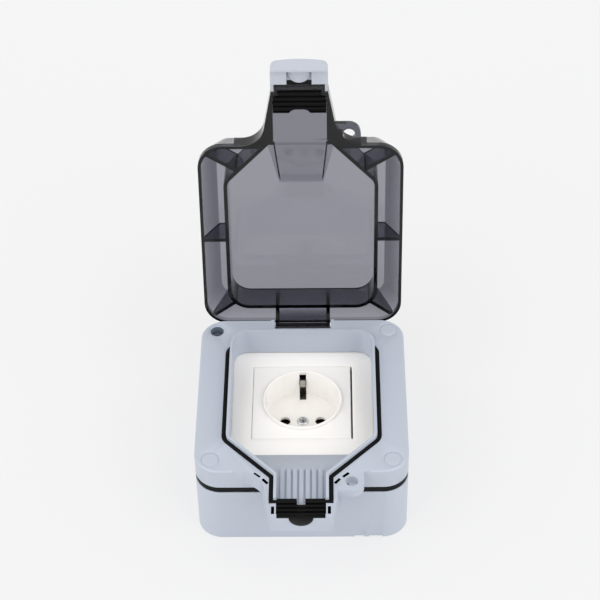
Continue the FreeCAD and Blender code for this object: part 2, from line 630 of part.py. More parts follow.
def pin_contacts():
    """Two spring sockets, each a bent strip from its terminal."""
    contacts = []
    foot = BASE_BOTTOM_Z + 5.0
    for side in (-1, 1):
        x = side * PIN_PITCH / 2
        tail = block(min(x, side * TERMINAL_X), max(x, side * TERMINAL_X), WELL_Y - 3.0, WELL_Y + 3.0,
                     foot - STRIP_T / 2, foot + STRIP_T / 2)
        leaf = [(WELL_Y + 3.0, foot), (WELL_Y + 2.5, foot + 4.0), (WELL_Y + 3.3, foot + 6.4)]
        back = [(2 * WELL_Y - y, z) for y, z in leaf]
        leaves = [strip(line, x - 2.8, x + 2.8, STRIP_T) for line in (leaf, back)]
        contacts.append(tail.multiFuse(leaves))
    return Part.makeCompound(contacts)


def earth_bracket():
    """Bridge under the well with a spring at each end and a terminal tail."""
    z = BRIDGE_Z
    far = WELL_R + WELL_WALL + STRIP_T / 2 + 0.4
    half = [(0, z), (far, z), (far, FLOOR_Z + 4.0), (WELL_R - 2.2, FLOOR_Z + 8.4), (WELL_R - 0.6, FLOOR_Z + 11.4)]
    springs = []
    for side in (-1, 1):
        springs.append(strip([(WELL_Y + side * y, h) for y, h in half], -1.45, 1.45, STRIP_T))
    tail = strip([(WELL_Y - far, z), (WELL_Y - far, BASE_BOTTOM_Z + 5.0),
                  (WELL_Y - EARTH_Y + 2.5, BASE_BOTTOM_Z + 5.0)], -1.45, 1.45, STRIP_T)
    eye = rod(3.2, 0, WELL_Y, z - STRIP_T / 2, z + STRIP_T / 2)
    bridge = springs[0].multiFuse([springs[1], tail, eye])
    return bridge.cut(rod(1.6, 0, WELL_Y, z - 2, z + 2))


def terminal_clamps():
    """Square cages that press the wire on its strip."""
    cages = []
    for x, y in terminal_spots():
        cage = block(x - 3.8, x + 3.8, y - 3.8, y + 3.8, BASE_BOTTOM_Z + 0.6, BASE_BOTTOM_Z + 7.6)
        window = block(x - 4.5, x + 4.5, y - 3.1, y + 3.1, BASE_BOTTOM_Z + 3.4, BASE_BOTTOM_Z + 6.6)
        if x == 0:
            window.rotate(V(x, y, 0), V(0, 0, 1), 90)
        cages.append(cage.cut(window.fuse(rod(1.7, x, y, BASE_BOTTOM_Z - 1, BASE_BOTTOM_Z + 4))))
    return Part.makeCompound(cages)


def terminal_screws():
    screws = []
    for x, y in terminal_spots():
        body = rod(1.7, x, y, BASE_BOTTOM_Z - 1.0, BASE_BOTTOM_Z + 4.2)
        slot = block(x - 3, x + 3, y - 0.35, y + 0.35, BASE_BOTTOM_Z - 1.5, BASE_BOTTOM_Z - 0.2)
        screws.append(body.cut(slot))
    return Part.makeCompound(screws)


def mounting_strap():
    """Steel support plate that the device hangs from."""
    half = STRAP_W / 2
    plate = prism(square(half, WELL_Y - half, WELL_Y + half, 6), STRAP_Z, STRAP_Z + STRAP_T)
    cuts = [rod(WELL_R + WELL_WALL + 1.4, 0, WELL_Y, STRAP_Z - 1, STRAP_Z + 3)]
    reach = DEVICE_SCREW_PITCH / 2
    for side in (-1, 1):
        cuts.append(rod(1.9, side * reach, WELL_Y, STRAP_Z - 1, STRAP_Z + 3))
        cuts.append(block(-4.0, 4.0, WELL_Y + side * reach - 1.9, WELL_Y + side * reach + 1.9, STRAP_Z - 1, STRAP_Z + 3))
    return plate.cut(cuts[0].multiFuse(cuts[1:]))


def strap_screws():
    screws = [pan_screw(side * DEVICE_SCREW_PITCH / 2, WELL_Y, STRAP_Z + STRAP_T, 2.9, 1.8, SCREW_R, 11)
              for side in (-1, 1)]
    return Part.makeCompound(screws)


# Lid.
def tray(inset, top_z, rim_z):
    """Four stacked outlines lofted into the shouldered lid form."""
    levels = [(0, rim_z), (0, LID_RIM_Z + LID_SKIRT), (LID_BEND_IN, LID_BEND_Z - inset * 0.5), (LID_TOP_IN, top_z)]
    wires = []
    for narrow, z in levels:
        hw = LID_HALF_W - narrow - inset
        front = LID_FRONT_Y + narrow * LID_TOP_FRONT_IN / LID_TOP_IN + inset
        rear = LID_REAR_Y - narrow - inset
        wires.append(corner_plan(square(hw, front, rear, CORNER_R - narrow * 0.6 - inset * 0.6), z))
    return Part.makeLoft(wires, True, True)


def neck_plan(inset):
    """Plan of the lid neck with its flares and the narrow tip."""
    root_y = LID_FRONT_Y
    n = spout_half(root_y) - inset
    e = spout_half(NECK_TIP_Y) - inset
    t = NECK_TIP_HALF - inset
    root = root_y + 6.0
    right = [(t, NECK_END_Y + inset, 0.8), (t, NECK_TIP_Y + inset, 0), (e, NECK_TIP_Y + inset, 0),
             (n, root_y + inset, FLARE_R), (n + 14, root_y + inset, 0), (n + 14, root, 0)]
    return right + [(-x, y, r) for x, y, r in reversed(right)]


def scoop(sink, grow):
    """Wedge over the sloping scoop, whose drafted sides widen upwards."""
    near = SCOOP_NEAR_Y + grow
    far = LID_FRONT_Y - 3.0
    wedge = profile_x([(near, LID_TOP_Z - sink), (SCOOP_FOOT_Y, NECK_TOP_Z - sink), (far, NECK_TOP_Z - sink),
                       (far, LID_TOP_Z + 5), (near, LID_TOP_Z + 5)], -HALF, HALF)
    z = NECK_TOP_Z - sink
    rise = LID_TOP_Z + 5 - z
    lean = SCOOP_DRAFT * rise / (LID_TOP_Z - NECK_TOP_Z)
    plan = [V(-HALF, near, z), V(SCOOP_NEAR_HALF + grow - SCOOP_DRAFT, near, z),
            V(SCOOP_FAR_HALF + grow, far, z), V(-HALF, far, z)]
    right = Part.Face(Part.makePolygon(plan + [plan[0]])).extrude(V(lean, 0, rise))
    return wedge.common(right).common(mirrored(right))


def lead_channel():
    """Hollow under the scoop, which runs from the pocket into the neck."""
    half = NECK_HALF_W + SEAL_MID - RIB_T / 2
    return profile_x([(SCOOP_FOOT_Y + 12, LID_RIM_Z - 1), (SCOOP_FOOT_Y + 12, NECK_TOP_Z - LID_WALL),
                      (LID_FRONT_Y - 4, NECK_TOP_Z - LID_WALL), (LID_FRONT_Y - 4, LID_RIM_Z - 1)], -half, half)


def gusset(x0, y0, x1, y1):
    """Upright stiffening web between two points, trimmed by the shell later."""
    length = math.hypot(x1 - x0, y1 - y0)
    web = block(0, length, -RIB_T / 2, RIB_T / 2, LID_RIM_Z + 0.5, LID_TOP_Z - 0.5)
    web.rotate(V(0, 0, 0), V(0, 0, 1), math.degrees(math.atan2(y1 - y0, x1 - x0)))
    web.translate(V(x0, y0, 0))
    return web


def hinge_lug():
    """Arched lug with two side webs that reaches down to the hinge pin."""
    inner_y = OPEN_REAR_Y + COLLAR_T + SEAL_W + 1.2
    outer = [(inner_y, LID_RIM_Z), (inner_y, LID_RIM_Z + 7.6), (LID_REAR_Y - 1.0, LID_RIM_Z + 11.6),
             (LID_REAR_Y + 1.6, LID_RIM_Z + 5.6), (HINGE_Y + KNUCKLE_R, HINGE_Z + 6.4),
             (HINGE_Y + KNUCKLE_R, HINGE_Z), (HINGE_Y - KNUCKLE_R, HINGE_Z), (HINGE_Y - KNUCKLE_R, HINGE_Z + 4.0),
             (HINGE_Y - KNUCKLE_R - 2.4, HINGE_Z + 6.4)]
    full = profile_x(outer, -HINGE_HALF, HINGE_HALF)
    back = HINGE_Y - 15.0
    hollow = [(back, HINGE_Z - 3.0), (back, HINGE_Z + 22.4), (LID_REAR_Y - LID_WALL, HINGE_Z + 22.4),
              (LID_REAR_Y - 0.6, HINGE_Z + 14.0), (HINGE_Y + KNUCKLE_R - 2.0, HINGE_Z + 6.4),
              (HINGE_Y + 0.6, HINGE_Z + 2.8), (HINGE_Y - 6.0, HINGE_Z - 3.6)]
    core = profile_x(hollow, -HINGE_HALF + 1.8, HINGE_HALF - 1.8)
    barrel = rod_x(KNUCKLE_R, -HINGE_HALF, HINGE_HALF, HINGE_Y, HINGE_Z)
    lug = full.cut(core).fuse(barrel)
    return lug.cut(rod_x(HINGE_PIN_R + RUN_FIT, -HINGE_HALF - 1, HINGE_HALF + 1, HINGE_Y, HINGE_Z))


def lid_shell():
    outer = tray(0, LID_TOP_Z, LID_RIM_Z)
    outer = outer.fuse(prism(neck_plan(0), LID_RIM_Z, NECK_TOP_Z)).cut(scoop(0, 0))
    inner = tray(LID_WALL, LID_TOP_Z - LID_WALL, LID_RIM_Z - 1)
    inner = inner.cut(scoop(LID_WALL, LID_WALL))
    throat = prism(neck_plan(LID_WALL), LID_RIM_Z - 1, NECK_TOP_Z - LID_WALL)
    throat = throat.common(prism(bottle(SEAL_MID - RIB_T / 2, NECK_END_Y + END_WALL_T), 0, LID_TOP_Z))
    shell = outer.cut(inner.multiFuse([throat, lead_channel()]))
    room = outer.common(prism(square(HALF + 1, NECK_END_Y - 1, HALF + 1, 1), LID_RIM_Z, LID_TOP_Z))
    rib = prism(bottle(SEAL_MID + RIB_T / 2, NECK_TIP_Y), LID_RIM_Z, LID_TOP_Z - 0.5)
    rib = rib.cut(prism(bottle(SEAL_MID - RIB_T / 2, NECK_END_Y), LID_RIM_Z - 1, LID_TOP_Z))
    w = OPEN_HALF_W + SEAL_MID
    rear = OPEN_REAR_Y + SEAL_MID
    webs = [gusset(w, SIDE_WEB_Y, LID_HALF_W - 1, SIDE_WEB_Y), gusset(HINGE_WEB_X, rear, HINGE_WEB_X, LID_REAR_Y - 1),
            gusset(w - 2.6, rear - 2.6, LID_HALF_W - 4.5, LID_REAR_Y - 4.5),
            gusset(w - 6, SHOULDER_Y - 8, LID_HALF_W - 4.5, LID_FRONT_Y + 5)]
    ribs = [rib]
    for web in webs:
        ribs += both_sides(web)
    ribs = [room.common(r) for r in ribs]
    ear = lug_solid(LID_RIM_Z, LID_RIM_Z + 3.2, LID_FRONT_Y + 1)
    body = shell.multiFuse(ribs + [ear, hinge_lug()])
    cuts = [rod(LUG_HOLE_R, LUG_X, LUG_Y, LID_RIM_Z - 1, LID_RIM_Z + 5)]
    cuts.append(rod_x(LATCH_PIN_R, -HALF, HALF, LATCH_Y, LATCH_Z))
    return body.cut(cuts[0].fuse(cuts[1]))


LID_PAD_FRONT_Y = NECK_END_Y + END_WALL_T + 0.1
LID_PAD_REAR_Y = SPOUT_END_Y + 10.3


def lid_seal():
    """Rubber block in the neck, hollowed over the lead."""
    top = NECK_TOP_Z - LID_WALL
    half = NECK_HALF_W + SEAL_MID - RIB_T / 2 - 0.1
    pad = prism(neck_plan(LID_WALL + 0.05), LID_RIM_Z + 0.3, top)
    pad = pad.common(block(-half, half, LID_PAD_FRONT_Y, LID_PAD_REAR_Y, 0, 100))
    arch = rod(11.0, 0, LID_PAD_REAR_Y + 9.4, LID_RIM_Z - 1, top + 1)
    ribs = []
    for i in range(3):
        y = SPOUT_END_Y + 1.5 + 2.8 * i
        ribs += both_sides(block(PAD_NOTCH_HALF, NECK_TIP_HALF - LID_WALL, y, y + 1.0, LID_RIM_Z, LID_RIM_Z + 0.4))
    return pad.multiFuse(ribs).cut(arch)


def hinge_pin():
    return rod_x(HINGE_PIN_R, -HINGE_HALF - 5, HINGE_HALF + 5, HINGE_Y, HINGE_Z)


def latch_pin():
    reach = LATCH_HALF_W - ARM_T + 1.0
    return rod_x(LATCH_PIN_R, -reach, reach, LATCH_Y, LATCH_Z)


def latch_clip():
    """Clip drawn locked: arms, curved plate, two legs, hook lip and tongue."""
    inner_x = LATCH_HALF_W - ARM_T
    face_y = SPOUT_END_Y - 0.4
    back_y = LATCH_Y - LATCH_BACK
    foot_z = LATCH_Z - LATCH_REACH
    head_z = LATCH_Z - 4.4
    arm = rod_x(2.2, inner_x, LATCH_HALF_W, LATCH_Y, LATCH_Z)
    arm = arm.fuse(profile_x([(LATCH_Y + 2.2, LATCH_Z), (face_y, head_z - 2), (face_y, foot_z),
                              (back_y, foot_z), (back_y, head_z), (LATCH_Y - 2.2, LATCH_Z)], inner_x, LATCH_HALF_W))
    plate = block(-LATCH_HALF_W, LATCH_HALF_W, back_y, back_y + LATCH_PLATE_T, foot_z, head_z)
    bend_r = LATCH_HALF_W ** 2 / (2 * LATCH_BULGE)
    bulge = Part.makeCylinder(bend_r, head_z - foot_z, V(0, back_y + bend_r - LATCH_BULGE, foot_z))
    bulge = bulge.common(block(-LATCH_HALF_W, LATCH_HALF_W, back_y - 4, back_y + 1, foot_z, head_z))
    leg = block(6.4, LATCH_HALF_W, back_y, face_y, foot_z, head_z)
    hook_y = SPOUT_END_Y + HOOK_DEPTH
    lip = block(-LATCH_HALF_W, LATCH_HALF_W, back_y, hook_y, foot_z, chin_z(hook_y) - HOOK_GAP)
    tongue = rod_y(5.4, 0, back_y, LATCH_Y + 1.6, head_z - 5.0)
    tongue = tongue.common(block(-8, 8, back_y, face_y, foot_z, head_z + 3))
    parts = both_sides(arm) + [bulge] + both_sides(leg) + [lip, tongue]
    body = plate.multiFuse(parts)
    front = square(LATCH_HALF_W, foot_z, LATCH_Z + 20, 3.0)
    outline = prism(front, 0, 40)
    outline.rotate(V(0, 0, 0), V(1, 0, 0), 90)
    outline.translate(V(0, back_y + 30, 0))
    body = body.common(outline)
    body = body.cut(rod_x(LATCH_PIN_R + RUN_FIT, -HALF, HALF, LATCH_Y, LATCH_Z))
    body.rotate(V(0, LATCH_Y, LATCH_Z), V(1, 0, 0), -LATCH_SWING)
    return body


def main():
    os.makedirs("parts", exist_ok=True)
    export("back_box", back_box())
    export("frame_gasket", frame_gasket())
    export("entry_grommet", entry_grommet())
    export("top_frame", top_frame())
    export("collar_seal", collar_seal())
    export("spout_seal", spout_seal())
    export("frame_screws", frame_screws())
    export("screw_caps", screw_caps())
    export("cover_frame", cover_frame())
    export("centre_plate", centre_plate())
    export("plate_screw", plate_screw())
    export("socket_base", socket_base())
    export("pin_contacts", pin_contacts())
    export("earth_bracket", earth_bracket())
    export("terminal_clamps", terminal_clamps())
    export("terminal_screws", terminal_screws())
    export("mounting_strap", mounting_strap())
    export("strap_screws", strap_screws())
    export("hinge_pin", hinge_pin())
    export("lid_shell", opened(lid_shell()))
    export("lid_seal", opened(lid_seal()))
    export("latch_pin", opened(latch_pin()))
    export("latch_clip", opened(latch_clip()))


main()
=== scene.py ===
# %% [markdown]
# A weatherproof surface mounted socket lies on its wall face with its smoke
# lid open. The solids come from the CAD frame. This lesson gives them soft
# edges and true finishes, with painted shade on a few walls that lie in shadow,
# and grows the small turned, moulded and rubber pieces with Geometry Nodes.

# %% Load the frame
import math
import bmesh
import bpy
from mathutils import Matrix, Vector


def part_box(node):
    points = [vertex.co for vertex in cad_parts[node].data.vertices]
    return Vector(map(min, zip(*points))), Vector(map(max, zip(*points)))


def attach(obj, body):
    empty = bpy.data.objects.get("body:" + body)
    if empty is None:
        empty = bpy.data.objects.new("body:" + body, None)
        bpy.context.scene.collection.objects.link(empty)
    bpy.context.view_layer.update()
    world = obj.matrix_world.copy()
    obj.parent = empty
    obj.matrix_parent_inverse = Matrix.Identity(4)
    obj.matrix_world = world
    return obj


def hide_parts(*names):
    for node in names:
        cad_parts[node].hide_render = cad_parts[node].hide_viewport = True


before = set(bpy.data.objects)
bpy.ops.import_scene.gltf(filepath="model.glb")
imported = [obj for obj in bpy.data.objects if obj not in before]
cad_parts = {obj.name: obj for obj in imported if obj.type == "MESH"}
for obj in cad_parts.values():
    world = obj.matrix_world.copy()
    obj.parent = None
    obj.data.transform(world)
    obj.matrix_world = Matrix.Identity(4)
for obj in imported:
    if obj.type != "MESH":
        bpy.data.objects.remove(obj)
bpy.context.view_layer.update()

MM = 0.001

# %% [markdown]
# Colours are written as the eye names them, from 0 to 255, and a shader wants
# linear light, so one helper turns the first into the second. Two more keep
# every node tree short: one adds a node with its fixed values, the other adds
# a math node between two sockets or numbers.


# %% Colour and node helpers
def shade(r, g, b):
    """Linear RGBA of an sRGB colour from 0 to 255."""
    parts = []
    for value in (r, g, b):
        c = value / 255
        parts.append(c / 12.92 if c <= 0.04045 else ((c + 0.055) / 1.055) ** 2.4)
    return (parts[0], parts[1], parts[2], 1.0)


def node_of(tree, kind, **values):
    """New node of a tree, with the values of its unlinked inputs."""
    node = tree.nodes.new(kind)
    for label, value in values.items():
        node.inputs[label.replace("_", " ")].default_value = value
    return node


def sum_of(tree, operation, first, second):
    """Math node on two sockets or numbers; returns its output."""
    node = tree.nodes.new("ShaderNodeMath")
    node.operation = operation
    for socket, value in zip(node.inputs, (first, second)):
        if isinstance(value, (int, float)):
            socket.default_value = value
        else:
            tree.links.new(value, socket)
    return node.outputs[0]


print("box grey is", [round(c, 3) for c in shade(184, 191, 203)])

# %% [markdown]
# Every material starts the same way: a Principled shader, a noise on object
# coordinates that shifts the colour, a Map Range that turns the same noise into
# roughness, and a bump. The helper makes that chain, and each finish below
# chooses the scale, the stretch and the depth that its real surface has.


# %% Surface chain
def surface(name, colour, rough, grain_mm, depth_mm, tone, swing, stretch=(1.0, 1.0, 1.0)):
    """Material whose noise drives tone, roughness and bump together."""
    mat = bpy.data.materials.new(name)
    mat.use_nodes = True
    tree = mat.node_tree
    link = tree.links.new
    skin = tree.nodes["Principled BSDF"]
    place = node_of(tree, "ShaderNodeTexCoord")
    squeeze = node_of(tree, "ShaderNodeMapping", Scale=stretch)
    link(place.outputs["Object"], squeeze.inputs["Vector"])
    grain = node_of(tree, "ShaderNodeTexNoise", Scale=1000.0 / grain_mm, Detail=3.0)
    link(squeeze.outputs["Vector"], grain.inputs["Vector"])
    flow = node_of(tree, "ShaderNodeTexNoise", Scale=40.0, Detail=3.0)
    link(place.outputs["Object"], flow.inputs["Vector"])
    drift = sum_of(tree, "MULTIPLY", flow.outputs["Fac"], 0.5)
    both = sum_of(tree, "MULTIPLY_ADD", grain.outputs["Fac"], 0.5)
    link(drift, both.node.inputs[2])
    tint = tree.nodes.new("ShaderNodeMix")
    tint.data_type = "RGBA"
    tint.inputs["A"].default_value = [c * (1 - tone) for c in colour[:3]] + [1]
    tint.inputs["B"].default_value = [min(1, c * (1 + tone)) for c in colour[:3]] + [1]
    link(both, tint.inputs["Factor"])
    link(tint.outputs["Result"], skin.inputs["Base Color"])
    gloss = node_of(tree, "ShaderNodeMapRange", From_Min=0.3, From_Max=0.7,
                    To_Min=rough - swing, To_Max=rough + swing)
    link(grain.outputs["Fac"], gloss.inputs["Value"])
    link(gloss.outputs["Result"], skin.inputs["Roughness"])
    bump = node_of(tree, "ShaderNodeBump", Strength=0.4, Distance=depth_mm * MM)
    link(grain.outputs["Fac"], bump.inputs["Height"])
    link(bump.outputs["Normal"], skin.inputs["Normal"])
    return mat


# %% [markdown]
# Moulded plastic carries the fine grain of its spark eroded tool and a slow
# drift of tone where the resin flowed. The insert is polished, so its grain is
# a tenth as deep. Rubber is darker, rougher and uneven. The last three colours
# are painted shade, dark colours for walls that lie in shadow.

# %% Plastics and rubbers
BOX_GREY = surface("moulded box grey", shade(184, 191, 203), 0.42, 0.35, 0.010, 0.020, 0.05)
FRAME_GREY = surface("moulded frame grey", shade(181, 188, 200), 0.40, 0.35, 0.010, 0.020, 0.05)
LATCH_GREY = surface("moulded latch grey", shade(186, 191, 201), 0.26, 0.40, 0.006, 0.015, 0.05)
CAP_GREY = surface("moulded cap grey", shade(181, 188, 200), 0.38, 0.35, 0.008, 0.020, 0.05)
INSERT_WHITE = surface("polished insert white", shade(248, 245, 241),
                       0.24, 0.60, 0.001, 0.006, 0.03)
BASE_BLACK = surface("insert base black", shade(16, 16, 17), 0.5, 0.50, 0.010, 0.10, 0.05)
ROPE_BLACK = surface("sponge seal black", shade(9, 9, 11), 0.7, 0.22, 0.040, 0.30, 0.10)
BAND_BLACK = surface("band seal black", shade(12, 13, 15), 0.55, 0.30, 0.015, 0.15, 0.06)
RUBBER_BLACK = surface("lead rubber black", shade(12, 12, 13), 0.30, 0.35, 0.012, 0.25, 0.08)
GROMMET_GREY = surface("entry grommet grey", shade(150, 155, 163), 0.6, 0.50, 0.015, 0.05, 0.06)
SLOT_SHADE = surface("unlit depth of a slot", shade(10, 10, 12), 0.9, 0.50, 0.002, 0.10, 0.02)
HOLE_SHADE = surface("shaded wall of a bare hole", shade(98, 108, 122),
                     0.6, 0.35, 0.008, 0.05, 0.05)
NECK_SHADE = surface("shaded end wall", shade(14, 16, 26), 0.6, 0.35, 0.008, 0.10, 0.05)
for dull, level in ((ROPE_BLACK, 0.15), (BAND_BLACK, 0.15), (RUBBER_BLACK, 0.12),
                    (BASE_BLACK, 0.10), (SLOT_SHADE, 0.0), (NECK_SHADE, 0.1)):
    dull.node_tree.nodes["Principled BSDF"].inputs["Specular IOR Level"].default_value = level
print("plastics and rubbers:", len(bpy.data.materials))

# %% [markdown]
# A metal has no colour apart from its reflection, so the work is in the
# roughness. The noise is squeezed along one axis, which draws it out into the
# fine lines that turning or drawing leaves.


# %% Metals
def metal(name, colour, rough, stretch):
    """Metal with drawn or turned lines."""
    mat = surface(name, colour, rough, 0.9, 0.008, 0.10, rough * 0.35, stretch)
    mat.node_tree.nodes["Principled BSDF"].inputs["Metallic"].default_value = 1.0
    return mat


TURNED = (1.0, 1.0, 10.0)
DRAWN = (0.1, 1.0, 1.0)
SCREW_STEEL = metal("zinc plated screw", shade(214, 214, 216), 0.30, TURNED)
# Painted shade: a darker, bluer copy of the screw steel for the corner screws, for the shade of
# the bare hole.
SHADED_SCREW_STEEL = metal("zinc plated screw in painted shade", shade(186, 192, 202), 0.34, TURNED)
# Painted shade: dark navy steel for the latch pin, for the shade behind the latch.
SHADED_PIN_STEEL = metal("latch pin in painted shade", shade(44, 47, 60), 0.45, DRAWN)
PIN_STEEL = metal("drawn steel pin", shade(190, 190, 192), 0.30, DRAWN)
STRAP_ZINC = metal("zinc plated strap", shade(186, 190, 196), 0.38, (1.0, 8.0, 1.0))
BRASS = metal("stamped brass", shade(196, 160, 92), 0.32, (1.0, 6.0, 1.0))
EARTH_NICKEL = metal("nickel plated earth spring", shade(200, 197, 190), 0.28, (6.0, 1.0, 1.0))
print("metals ready, materials now", len(bpy.data.materials))

# %% [markdown]
# The lid is smoke tinted polycarbonate. It is clear, so light goes through it
# and comes out darker the longer its way was. Glass with an absorbing volume
# does just that: the flat plateau stays mid grey, and walls and ribs that are
# seen on edge turn nearly black.

# %% Smoke tinted lid
SMOKE_DENSITY = 820.0
SMOKE_TINT = (0.20, 0.205, 0.275, 1)
LID_WALL = 1.6
LID_SMOKE = bpy.data.materials.new("smoke tinted clear plastic")
LID_SMOKE.use_nodes = True
smoke_tree = LID_SMOKE.node_tree
smoke_link = smoke_tree.links.new
smoke = smoke_tree.nodes["Principled BSDF"]
smoke.inputs["Base Color"].default_value = (0.98, 0.98, 1.0, 1)
smoke.inputs["Transmission Weight"].default_value = 1.0
smoke.inputs["IOR"].default_value = 1.45
smoke_place = node_of(smoke_tree, "ShaderNodeTexCoord")
ripple = node_of(smoke_tree, "ShaderNodeTexNoise", Scale=60.0, Detail=3.0)
smoke_link(smoke_place.outputs["Object"], ripple.inputs["Vector"])
haze = node_of(smoke_tree, "ShaderNodeMapRange", To_Min=0.02, To_Max=0.08)
smoke_link(ripple.outputs["Fac"], haze.inputs["Value"])
smoke_link(haze.outputs["Result"], smoke.inputs["Roughness"])
depths = node_of(smoke_tree, "ShaderNodeVolumeAbsorption", Color=SMOKE_TINT, Density=SMOKE_DENSITY)
smoke_link(depths.outputs["Volume"], smoke_tree.nodes["Material Output"].inputs["Volume"])
passed = math.exp(-SMOKE_DENSITY * (1 - SMOKE_TINT[0]) * LID_WALL * MM)
print("a wall of", LID_WALL, "mm lets through", round(passed, 2), "of the light")

# %% [markdown]
# A CAD solid has knife edges, and a moulding never does: every edge has a small
# radius that catches a line of light. A copy of each visible moulding is merged,
# its flat faces are joined and cut into few clean triangles, and a narrow bevel
# runs along its edges. The clear lid keeps its flat faces whole and unbevelled,
# because light bends at every facet that it meets.


# %% Soft-edged copy of a moulding
def merged(node, name, cut=True):
    """Copy of the mesh of a CAD node, closed and with clean flat faces."""
    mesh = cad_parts[node].data.copy()
    mesh.name = name
    form = bmesh.new()
    form.from_mesh(mesh)
    bmesh.ops.remove_doubles(form, verts=form.verts, dist=2e-6)
    bmesh.ops.dissolve_limit(form, angle_limit=math.radians(0.8),
                             verts=form.verts, edges=form.edges)
    if cut:
        bmesh.ops.triangulate(form, faces=form.faces)
    form.to_mesh(mesh)
    form.free()
    return mesh


def soften(piece, width, angle):
    """Narrow round bevel along the sharp edges of a piece."""
    for face in piece.data.polygons:
        face.use_smooth = True
    piece.data.set_sharp_from_angle(angle=math.radians(angle))
    if width:
        edge = piece.modifiers.new("moulded edge", "BEVEL")
        edge.width = width * MM
        edge.segments = 2
        edge.limit_method = "ANGLE"
        edge.angle_limit = math.radians(angle)
        edge.miter_outer = "MITER_ARC"
        edge.loop_slide = False
        edge.harden_normals = True


def mould(node, name, body, width, material, angle=28.0):
    """Copy of a CAD node with its edges rounded, standing in for the node."""
    mesh = merged(node, name, cut=width > 0)
    mesh.materials.clear()
    mesh.materials.append(material)
    piece = bpy.data.objects.new(name, mesh)
    bpy.context.scene.collection.objects.link(piece)
    soften(piece, width, angle)
    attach(piece, body)
    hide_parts(node)
    print(name, "faces", len(mesh.polygons))
    return piece


mould("back_box", "wall_box", "box", 0.4, BOX_GREY)
mould("frame_gasket", "band_seal", "box", 0.3, BAND_BLACK)
moulded_frame = mould("top_frame", "frame_moulding", "box", 0.3, FRAME_GREY)
mould("cover_frame", "white_cover_frame", "box", 0.3, INSERT_WHITE)
mould("centre_plate", "white_centre_plate", "box", 0.2, INSERT_WHITE)
smoke_lid = mould("lid_shell", "smoke_lid", "lid", 0.0, LID_SMOKE, angle=12.0)
mould("latch_clip", "latch_moulding", "latch", 0.3, LATCH_GREY)

# %% [markdown]
# Looking into the open lid, the two drafted flanks of its scoop are seen almost
# edge-on, where smoke plastic turns black. Their inner corners move inwards,
# which leaves a flank about as thick along the view as the plateau is. The neck
# and the foot of the scoop look darker than the window, so the wall is half a
# millimetre thicker there. The corners are found by windows on the closed lid,
# so their places are first turned about the hinge.

# %% Wall thickness of the lid
HINGE_Y, HINGE_Z = [(low + high) / 2 / MM for low, high in list(zip(*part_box("hinge_pin")))[1:]]
OPEN_TURN = math.radians(-100.0)
FLANK_SHIFT = 1.0
FLANK_CORNERS = ((12.0, 19.5), (-51.0, -22.0), (60.6, 69.3))
NECK_EXTRA = 0.5
NECK_CORNERS = ((-1.0, 21.0), (-95.0, -50.0), (60.3, 60.9))


def turned(y, z, angle):
    """Place of a lid point after a turn about the hinge."""
    arm = Vector((0, y - HINGE_Y, z - HINGE_Z))
    arm.rotate(Matrix.Rotation(angle, 3, "X"))
    return arm.y + HINGE_Y, arm.z + HINGE_Z


def within(place, window):
    """Whether a place, mirrored to the right side, lies in a window in millimetres."""
    return all(low < value < high for value, (low, high) in zip(place, window))


thicker = Vector((0, 0, -NECK_EXTRA * MM))
thicker.rotate(Matrix.Rotation(OPEN_TURN, 3, "X"))
moved = 0
for corner in smoke_lid.data.vertices:
    x, y, z = corner.co / MM
    closed = (abs(x), *turned(y, z, -OPEN_TURN))
    if within(closed, FLANK_CORNERS):
        corner.co.x -= math.copysign(FLANK_SHIFT * MM, x)
        moved += 1
    if within(closed, NECK_CORNERS):
        corner.co += thicker
        moved += 1
print("lid corners moved", moved)

# %% [markdown]
# The narrow slots beside the spout lead down into the unlit ledge. Their walls
# get a painted shade, a near-black colour for that unlit depth, so that they
# read as holes. The outer left slot touches the side of the ledge, where a thin web closes it.

# %% Slots beside the spout
DECK_Z = 51.6
SPOUT_END_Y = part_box("spout_seal")[0][1] / MM + 0.4
BOX_FRONT_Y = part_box("back_box")[0][1] / MM
# Each slot: centre x and y, turn in degrees, half length, half width.
SLOTS = [(22.35, BOX_FRONT_Y - 2.35, 41.0, 2.1, 0.85),
         (18.1, BOX_FRONT_Y - 6.35, 50.0, 2.1, 0.85),
         (14.0, SPOUT_END_Y + 4.2, 0.0, 0.9, 2.5)]
FRONT_WALL = -0.5
SLOT_TOP_Z = DECK_Z - 0.6


def in_slot(x, y):
    """Whether a place, mirrored to the right side, lies in a slot behind its front wall."""
    for slot_x, slot_y, turn, half_l, half_w in SLOTS:
        away = Vector((abs(x) - slot_x, y - slot_y, 0))
        away.rotate(Matrix.Rotation(-math.radians(turn), 3, "Z"))
        if abs(away.x) < half_l and FRONT_WALL < away.y < half_w:
            return True
    return False


# Painted shade: the slot walls below the deck get a near-black colour for their unlit depth.
moulded_frame.data.materials.append(SLOT_SHADE)
for face in moulded_frame.data.polygons:
    x, y, z = face.center / MM
    if z < SLOT_TOP_Z and in_slot(x, y):
        face.material_index = 1
print("dark slot faces", sum(face.material_index for face in moulded_frame.data.polygons))
WEB_SIZE = (4.2, 0.45, 8.2)
WEB_Z = DECK_Z - 4.15
WEB_BACK = -0.55
web_place = Matrix.Translation(Vector((-SLOTS[0][0], SLOTS[0][1], WEB_Z)) * MM)
web_turn = Matrix.Rotation(math.radians(-SLOTS[0][2]), 4, "Z")
web_shift = Matrix.Translation((0, WEB_BACK * MM, 0))
web_form = web_place @ web_turn @ web_shift @ Matrix.Diagonal((*WEB_SIZE, 1.0))
web = bmesh.new()
web.from_mesh(moulded_frame.data)
bmesh.ops.create_cube(web, size=MM, matrix=web_form)
web.to_mesh(moulded_frame.data)
web.free()
